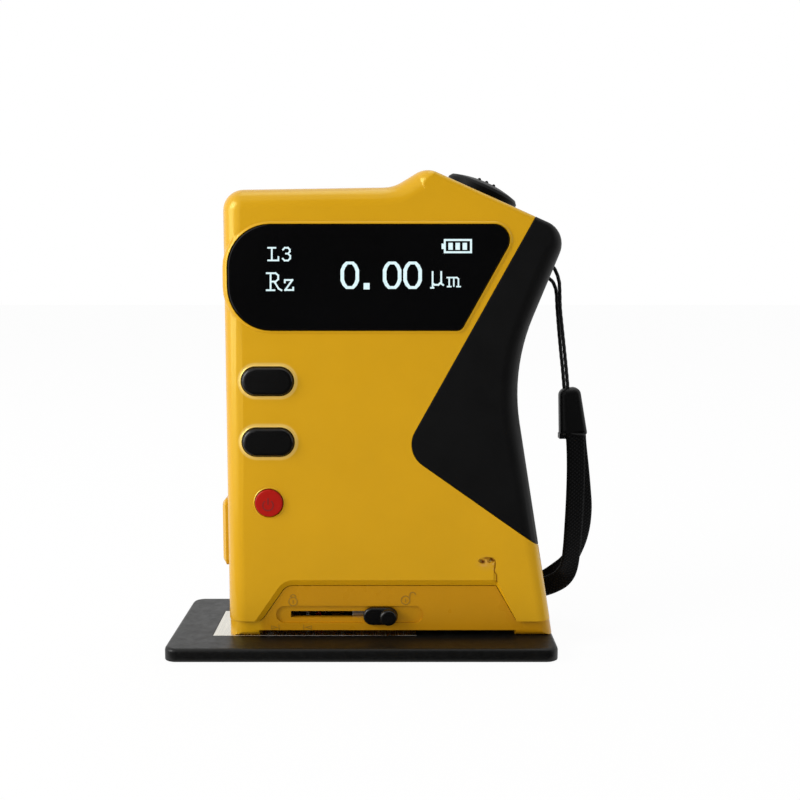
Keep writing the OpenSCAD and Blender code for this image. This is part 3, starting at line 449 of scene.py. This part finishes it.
def dressed(node, material, bevel):
    """A welded copy of a CAD node with smooth rounded faces and softened edges; bevel in mm."""
    bm = bmesh.new()
    bm.from_mesh(nodes[node].data)
    bmesh.ops.remove_doubles(bm, verts=bm.verts, dist=1e-6)
    bmesh.ops.dissolve_limit(bm, angle_limit=math.radians(0.3), verts=bm.verts, edges=bm.edges)
    for f in bm.faces:
        f.smooth = True
    for e in bm.edges:
        e.smooth = len(e.link_faces) == 2 and e.calc_face_angle(0) < SHARP
    obj = piece(node + "_finish", bm, material, body_of_node[node], [node])
    soft = obj.modifiers.new("soft_edges", "BEVEL")
    soft.width = bevel * MM
    soft.segments = 2
    soft.limit_method = "ANGLE"
    soft.angle_limit = SHARP
    soft.miter_outer = "MITER_ARC"
    even = obj.modifiers.new("even_shading", "WEIGHTED_NORMAL")
    even.mode = "FACE_AREA"
    even.weight = 50
    even.keep_sharp = False
    return obj


dressed("front_shell", yellow_front, 0.10)
dressed("rear_shell", yellow, 0.10)
dressed("bottom_cover", cover_finish_shaded, 0.10)
dressed("socket_cover", yellow, 0.15)
dressed("grip", rubber, 0.10)
dressed("display_window", window, 0.06)
dressed("upper_key", black, 0.08)
dressed("lower_key", black, 0.08)
dressed("power_key", red, 0.15)
dressed("start_button", button_black, 0.15)
dressed("lock_knob", black, 0.08)
dressed("lock_plate", steel, 0.06)
clasp = dressed("strap_clasp", clasp_black, 0.10)
dressed("reference_plate", plate_black, 0.10)
dressed("specimen", specimen_metal, 0.08)
dressed("case_screws", steel, 0.05)
dressed("base_screws", steel, 0.05)


# ---------------------------------------------------------------- strap
def curve_points(points, sub):
    """Smooth line through points in the body's own mm, as points of the whole part in metres."""
    p = [Vector((x, y + BODY_Y, z + PLATE_T)) * MM for x, y, z in points]
    out = []
    for i in range(len(p) - 1):
        a, b, c, d = p[max(i - 1, 0)], p[i], p[i + 1], p[min(i + 2, len(p) - 1)]
        for k in range(sub):
            t = k / sub
            square, cube = 2 * a - 5 * b + 4 * c - d, 3 * b - a - 3 * c + d
            out.append(0.5 * (2 * b + (c - a) * t + square * t * t + cube * t * t * t))
    out.append(p[-1])
    return out


def evenly(points, step):
    """The same line with points a fixed distance apart."""
    total = sum((b - a).length for a, b in zip(points, points[1:]))
    count = max(2, round(total / step))
    out, i, run = [points[0]], 0, 0.0
    for k in range(1, count):
        want = total * k / count
        while run + (points[i + 1] - points[i]).length < want:
            run += (points[i + 1] - points[i]).length
            i += 1
        span = (points[i + 1] - points[i]).length
        out.append(points[i].lerp(points[i + 1], (want - run) / span))
    out.append(points[-1])
    return out, total


def heading(line, i, reach=1):
    """Direction of a line at its point i."""
    return (line[min(i + reach, len(line) - 1)] - line[max(i - reach, 0)]).normalized()


def tube(rings, uv_rows=None):
    """Closed skin over rings of points; uv_rows are the widths round a ring and the lengths of the rings."""
    bm = bmesh.new()
    layer = bm.loops.layers.uv.new("UVMap")
    grid = [[bm.verts.new(v) for v in ring] for ring in rings]
    n = len(rings[0])
    for k in range(len(rings) - 1):
        for i in range(n):
            j = (i + 1) % n
            f = bm.faces.new((grid[k][i], grid[k][j], grid[k + 1][j], grid[k + 1][i]))
            f.smooth = True
            if uv_rows:
                across, along = uv_rows
                for loop, (r, c) in zip(f.loops, ((k, i), (k, i + 1), (k + 1, i + 1), (k + 1, i))):
                    loop[layer].uv = (across[c], along[r])
    bm.faces.new(list(reversed(grid[0])))
    bm.faces.new(grid[-1])
    bmesh.ops.recalc_face_normals(bm, faces=bm.faces)
    return bm


# Routes of the strap, as in the part's source, and the number of points between two given ones
ROUTE_STEPS = 8
CORD = [
    (49.5, 3.4, 56.5), (49.3, 3.3, 58.5), (48.9, 3, 62), (48.3, 2.4, 66.5), (47.6, 1.7, 71.5),
    (46.9, 0.8, 76.5), (46.6, 0, 80.5), (46.3, -0.5, 83), (45.3, -0.7, 85.6), (43.6, -0.7, 87.4),
    (41.7, -0.6, 88.7), (39.9, -0.2, 88.5), (39, 0.3, 86.9), (39.8, 0.6, 85.2), (41.5, 0.8, 84.7),
    (43.4, 0.9, 84), (45, 1, 82.8), (45.9, 1.1, 80.6), (46.3, 1.7, 76.8), (46.9, 2.6, 71.6),
    (47.6, 3.5, 66.2), (48.2, 4.1, 61.8), (48.6, 4.5, 58.4), (48.8, 4.6, 56.5),
]
WEB = [
    (51.2, 3, 46.6), (51.5, 3, 43), (51.7, 3.2, 37), (51.7, 3.8, 30), (51.6, 4.8, 23), (51.5, 6.2, 17),
    (51.2, 8, 12.2), (50, 10.2, 8.6), (47.6, 12, 6.4), (44.4, 13, 5), (40, 13.4, 3.7), (34, 13.5, 2.8),
    (26, 13.4, 2.5), (14, 13.3, 2.5), (2, 13.2, 2.5), (-12, 13.2, 2.5), (-19, 13.3, 2.5),
    (-22.4, 13.9, 2.5), (-23.6, 15.3, 2.5), (-22.4, 16.7, 2.5), (-19, 17.3, 2.5), (-12, 17.4, 2.5),
    (2, 17.4, 2.5), (14, 17.4, 2.5), (26, 17.3, 2.5), (34, 17.2, 2.8), (40, 17.1, 3.8), (44.8, 16.7, 5.4),
    (48.6, 15.6, 8), (51.6, 13.8, 11.6), (53.4, 11.8, 16), (54.3, 9.8, 21), (54.4, 8, 26.5),
    (53.8, 6.7, 32), (53, 5.7, 38), (52.3, 5.1, 43), (52, 4.9, 46.6),
]


def make_cord():
    """Cord of three strands that wind round its route."""
    sides, radius, strands, turn = 18, 0.45 * MM, 3, 0.42
    line, total = evenly(curve_points(CORD, ROUTE_STEPS), 0.35 * MM)
    rings = []
    side = Vector((0, 1, 0))
    for i, p in enumerate(line):
        t = heading(line, i)
        side = (side - t * side.dot(t)).normalized()
        other = t.cross(side)
        ring = []
        for k in range(sides):
            a = 2 * math.pi * k / sides
            r = radius * (0.94 + 0.06 * math.cos(strands * (a - i * turn)))
            ring.append(p + (side * math.cos(a) + other * math.sin(a)) * r)
        rings.append(ring)
    obj = piece("strap_cord_braid", tube(rings), cord_cloth, "tester", ["strap_cord"])


def make_webbing():
    """Ribbed band that hangs broadside and turns on edge where it comes down to the plate."""
    half, thick, columns = 2.4 * MM, 0.5 * MM, 28
    edge_h, turn_h = 4.5, 11.5  # height up to which it stands on edge and height of the turn, in mm
    line, total = evenly(curve_points(WEB, ROUTE_STEPS), 0.45 * MM)
    section = []
    for way in (1, -1):
        for k in range(columns + 1):
            u = way * (2 * k / columns - 1)
            section.append((u * half, way * thick * (1 - 0.55 * abs(u) ** 9)))
    across = [c for c, _ in section] + [section[0][0]]
    rings, along, run = [], [], 0.0
    for i, p in enumerate(line):
        if i:
            run += (p - line[i - 1]).length
        t = heading(line, i, 2)
        h = min(max((p.z / MM - PLATE_T - edge_h) / turn_h, 0), 1)
        m = h * h * (3 - 2 * h)
        w = Vector((0.94, 0.34, 0)) * m + Vector((0, 0, -1)) * (1 - m)
        s = (w - t * w.dot(t)).normalized()
        q = t.cross(s)
        rib = 0.97 + 0.03 * (i % 2)
        rings.append([p + s * c + q * d * rib for c, d in section])
        along.append(run)
    obj = piece("strap_webbing_weave", tube(rings, (across, along)), webbing_cloth, "tester",
                ["strap_webbing"])


make_cord()
make_webbing()


# ---------------------------------------------------------------- display
# How far a lit figure stands out of its plane and reaches behind it, in mm
LIFT, DEEP = 0.03, 0.02
FIGURE_TOP = 261  # picture row of the top of the large figures


def bar(bm, a, b, width, lift, deep):
    """Flat bar from a to b on an upright plane, standing lift proud of it."""
    d = b - a
    d = d.normalized() if d.length > 1e-9 else Vector((1, 0, 0))
    n = Vector((-d.z, 0, d.x))
    e = d * width / 2
    corners = [a - e - n * width / 2, b + e - n * width / 2, b + e + n * width / 2, a - e + n * width / 2]
    solid(bm, corners, lift, deep)


def solid(bm, corners, lift, deep):
    """Flat solid with the given outline on an upright plane."""
    front = [bm.verts.new(c + Vector((0, -lift, 0))) for c in corners]
    back = [bm.verts.new(c + Vector((0, deep, 0))) for c in corners]
    bm.faces.new(front)
    bm.faces.new(list(reversed(back)))
    n = len(corners)
    for i in range(n):
        j = (i + 1) % n
        bm.faces.new((front[j], front[i], back[i], back[j]))


def strokes(bm, lines, y, width, lift=LIFT, deep=DEEP):
    """Lines of picture places drawn with a square pen; each stroke stands a hair higher than the last."""
    k = 0
    for line in lines:
        for a, b in zip(line, line[1:]):
            bar(bm, seen(*a, y), seen(*b, y), width * MM, (lift + 0.0006 * k) * MM, deep * MM)
            k += 1
    bmesh.ops.recalc_face_normals(bm, faces=bm.faces)


def patch(bm, places, y):
    """Lit patch whose corners stand at the given picture places."""
    solid(bm, [seen(u, v, y) for u, v in places], LIFT * MM, DEEP * MM)


def zero(bm, u, y):
    """Large zero whose left edge stands at picture column u."""
    outer = [(6.0, 0.6), (13.6, 0.6), (16.9, 3.9), (19.1, 8.8), (19.1, 19.8), (16.9, 24.6),
             (13.6, 27.9), (6.0, 27.9), (2.7, 24.6), (0.5, 19.8), (0.5, 8.8), (2.7, 3.9)]
    inner = [(7.6, 3.4), (12, 3.4), (14.3, 6.6), (15.5, 10.2), (15.5, 18.4), (14.3, 21.9), (12, 25.1),
             (7.6, 25.1), (5.3, 21.9), (4.1, 18.4), (4.1, 10.2), (5.3, 6.6)]
    for i in range(len(outer)):
        j = (i + 1) % len(outer)
        quad = [outer[i], outer[j], inner[j], inner[i]]
        patch(bm, [(u + a, FIGURE_TOP + b) for a, b in quad], y)


def make_readout():
    y = FACE_Y - 0.25
    bm = bmesh.new()
    for u in (340, 382.3, 402.8):
        zero(bm, u, y)
    patch(bm, [(363.6, 283), (369.6, 283), (369.6, 289.4), (363.6, 289.4)], y)
    strokes(bm, [
        [(271.8, 248), (271.8, 260.2)], [(268.2, 247.8), (275.4, 247.8)],
        [(268.2, 260.4), (278.4, 260.4), (278.4, 257)],
        [(283, 249.6), (284.8, 247.8), (288, 247.8), (289.8, 249.6), (289.8, 251.6), (288, 253.6),
         (286, 253.6)],
        [(288, 253.6), (290.2, 255.8), (290.2, 258.4), (288, 260.5), (284.6, 260.5), (282.8, 258.7)],
    ], y, 0.36)
    strokes(bm, [
        [(270.6, 273.4), (270.6, 290)],
        [(266.8, 273.2), (275.6, 273.2), (278.2, 275.4), (278.2, 279.2), (275.6, 281.6), (270.6, 281.6)],
        [(266.8, 290.2), (274.4, 290.2)], [(274.4, 281.8), (278.6, 288.6), (281.4, 290.2)],
        [(284.8, 282.4), (284.8, 280), (292.4, 280), (285.2, 290), (293.2, 290), (293.2, 287.6)],
    ], y, 0.38)
    strokes(bm, [
        [(432.6, 272), (432.6, 287.8)], [(432.6, 283), (434.6, 284.8), (438.4, 284.8), (441.2, 282)],
        [(441.2, 272), (441.2, 283.6), (443.2, 285)], [(431, 287.8), (433.4, 287.8)],
    ], y, 0.38)
    strokes(bm, [
        [(447.2, 277.6), (457, 277.6), (458.4, 279), (458.4, 286)], [(449.2, 277.6), (449.2, 286)],
        [(453.8, 277.6), (453.8, 286)], [(447.6, 286.6), (450.8, 286.6)], [(457, 286.6), (460.2, 286.6)],
    ], y, 0.32)
    piece("readout_figures", bm, readout, "tester")
    bm = bmesh.new()
    strokes(bm, [[(444.8, 240), (471, 240), (471, 252.2), (444.8, 252.2), (444.8, 240)]], y, 0.44)
    for a in (448.4, 455.5, 462.6):
        patch(bm, [(a, 242.8), (a + 4.4, 242.8), (a + 4.4, 249.8), (a, 249.8)], y)
    patch(bm, [(441.6, 243.6), (444, 243.6), (444, 249), (441.6, 249)], y)
    piece("readout_battery", bm, readout, "tester")


make_readout()


# ---------------------------------------------------------------- moulded signs
def arc(u, v, r, a0, a1, steps=12):
    """Picture places on an arc round u, v, between two angles in degrees."""
    turns = [math.radians(a0 + (a1 - a0) * i / steps) for i in range(steps + 1)]
    return [(u + r * math.cos(a), v - r * math.sin(a)) for a in turns]


def make_signs():
    bm = bmesh.new()
    strokes(bm, [
        arc(293, 601.5, 4.2, 0, 360, 20), arc(293, 597.2, 2.6, 10, 170), [(293, 600.6), (293, 603)],
        arc(405.4, 600.2, 4.2, 0, 360, 20), [(405.4, 599.2), (405.4, 601.8)],
        [(409.4, 598.4), (409.8, 595)] + arc(412.6, 595, 2.8, 180, 10, 9),
    ], PANEL_Y, 0.20, 0.05, 0.05)
    strokes(bm, [
        [(279, 625), (279, 629.4)], [(303.6, 625), (303.6, 629.4)],
        [(271.5, 625.8), (277, 627.3), (271.5, 628.8), (271.5, 625.8)],
        [(311.4, 625.8), (305.8, 627.3), (311.4, 628.8), (311.4, 625.8)],
    ], PANEL_Y, 0.16, 0.05, 0.05)
    piece("moulded_signs", bm, sign_yellow_shaded, "tester")
    bm = bmesh.new()
    key_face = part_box("power_key")[0].y / MM
    strokes(bm, [arc(268, 505.4, 5.2, 130, 410, 20), [(268, 498.8), (268, 504.2)]], key_face, 0.26, 0.02, 0.05)
    piece("power_sign", bm, red_mark, "power_key")


make_signs()


# ---------------------------------------------------------------- chip
def thread(points, radius, y, lift):
    """Thin line with tapering ends through picture places on an upright plane; sizes in mm."""
    line = [seen(u, v, y) for u, v in points]
    rings = []
    for i, p in enumerate(line):
        s = heading(line, i).cross(Vector((0, 1, 0))).normalized()
        r = radius * MM * (0.55 + 0.45 * math.sin(math.pi * (i + 0.5) / len(line)))
        rings.append([
            p + (s * math.cos(a) * r) + Vector((0, math.sin(a) * r * 0.6 - lift * MM, 0))
            for a in (2 * math.pi * k / 8 for k in range(8))
        ])
    return tube(rings)


def make_chip():
    crack = [(494.6, 559.4), (495.2, 561.4), (495.3, 564.6), (495.0, 567.4), (494.1, 570.2),
             (494.8, 572.2), (496.1, 574.6), (496.5, 578), (496.6, 582)]
    # The dark thread is painted shadow laid along the crack.
    piece("chip_crack", thread(crack, 0.13, FACE_Y, -0.02), chip_dark, "tester")


make_chip()


# ---------------------------------------------------------------- floor and light
def stage_plane(name, corners, material):
    mesh = bpy.data.meshes.new(name)
    mesh.from_pydata(corners, [], [(0, 1, 2, 3)])
    mesh.materials.append(material)
    obj = bpy.data.objects.new(name, mesh)
    scene.collection.objects.link(obj)
    return obj


def floor_material():
    """Pale floor that takes a faint shadow and is white in view and in reflections."""
    material = bpy.data.materials.new("floor")
    material.use_nodes = True
    tree = material.node_tree
    tree.nodes.clear()
    out = tree.nodes.new("ShaderNodeOutputMaterial")
    diffuse = tree.nodes.new("ShaderNodeBsdfDiffuse")
    diffuse.inputs["Color"].default_value = (0.97, 0.97, 0.97, 1)
    glow = tree.nodes.new("ShaderNodeEmission")
    glow.inputs["Color"].default_value = (1, 1, 1, 1)
    path = tree.nodes.new("ShaderNodeLightPath")
    most = path_share(tree, path)
    share = tree.nodes.new("ShaderNodeMath")
    share.operation = "MULTIPLY"
    share.inputs[1].default_value = 0.95
    tree.links.new(most, share.inputs[0])
    mix = tree.nodes.new("ShaderNodeMixShader")
    tree.links.new(share.outputs["Value"], mix.inputs["Fac"])
    tree.links.new(diffuse.outputs["BSDF"], mix.inputs[1])
    tree.links.new(glow.outputs["Emission"], mix.inputs[2])
    tree.links.new(mix.outputs["Shader"], out.inputs["Surface"])
    return material


def path_share(tree, path):
    """1 for rays from the camera, a reflection or glass, and 0 for the rays that light the object."""
    first = tree.nodes.new("ShaderNodeMath")
    first.operation = "MAXIMUM"
    tree.links.new(path.outputs["Is Camera Ray"], first.inputs[0])
    tree.links.new(path.outputs["Is Glossy Ray"], first.inputs[1])
    second = tree.nodes.new("ShaderNodeMath")
    second.operation = "MAXIMUM"
    tree.links.new(first.outputs["Value"], second.inputs[0])
    tree.links.new(path.outputs["Is Transmission Ray"], second.inputs[1])
    return second.outputs["Value"]


stage_plane(
    "floor",
    [(-4, -4, -0.0002), (4, -4, -0.0002), (4, 4, -0.0002), (-4, 4, -0.0002)],
    floor_material(),
)

# Dark cards that only reflections show: one stands in front of the tester, one lies before the plate
CARD_L, CARD_R, CARD_Y = -0.16, 0.95, -0.62
LOW_Y, LOW_Z = -0.0207, 0.0004
card_material = bpy.data.materials.new("dark_card")
card_material.use_nodes = True
card_shader = card_material.node_tree.nodes["Principled BSDF"]
card_shader.inputs["Base Color"].default_value = (0.02, 0.02, 0.02, 1)
card_shader.inputs["Roughness"].default_value = 0.9
for name, corners in (
    ("dark_card", [(CARD_L, CARD_Y, -0.1), (CARD_R, CARD_Y, -0.1), (CARD_R, CARD_Y, 0.85), (CARD_L, CARD_Y, 0.85)]),
    ("dark_card_low",
     [(CARD_L, CARD_Y, LOW_Z), (CARD_R, CARD_Y, LOW_Z), (CARD_R, LOW_Y, LOW_Z), (CARD_L, LOW_Y, LOW_Z)]),
):
    card = stage_plane(name, corners, card_material)
    card.visible_camera = False
    card.visible_diffuse = False
    card.visible_transmission = False
    card.visible_shadow = False

world = bpy.data.worlds.new("studio")
scene.world = world
world.use_nodes = True
sky = world.node_tree
sky.nodes.clear()
sky_out = sky.nodes.new("ShaderNodeOutputWorld")
fill = sky.nodes.new("ShaderNodeBackground")
fill.inputs["Color"].default_value = (1, 1, 1, 1)
fill.inputs["Strength"].default_value = 0.58
white = sky.nodes.new("ShaderNodeBackground")
white.inputs["Color"].default_value = (1, 1, 1, 1)
white.inputs["Strength"].default_value = 1.0
sky_mix = sky.nodes.new("ShaderNodeMixShader")
sky.links.new(path_share(sky, sky.nodes.new("ShaderNodeLightPath")), sky_mix.inputs["Fac"])
sky.links.new(fill.outputs["Background"], sky_mix.inputs[1])
sky.links.new(white.outputs["Background"], sky_mix.inputs[2])
sky.links.new(sky_mix.outputs["Shader"], sky_out.inputs["Surface"])


def softbox(name, place, aim, size, watts):
    data = bpy.data.lights.new(name, "AREA")
    data.shape = "SQUARE"
    data.size = size
    data.energy = watts
    obj = bpy.data.objects.new(name, data)
    scene.collection.objects.link(obj)
    obj.location = place
    obj.rotation_euler = (Vector(aim) - Vector(place)).to_track_quat("-Z", "Y").to_euler()


softbox("key_light", (-0.80, -0.40, 0.55), (0, 0, 0.05), 0.45, 4.4)
softbox("side_light", (-0.62, -0.24, 0.16), (0, 0, 0.06), 0.36, 1.35)
softbox("top_light", (0.1, 0.15, 0.95), (0, 0, 0.05), 0.6, 1.6)
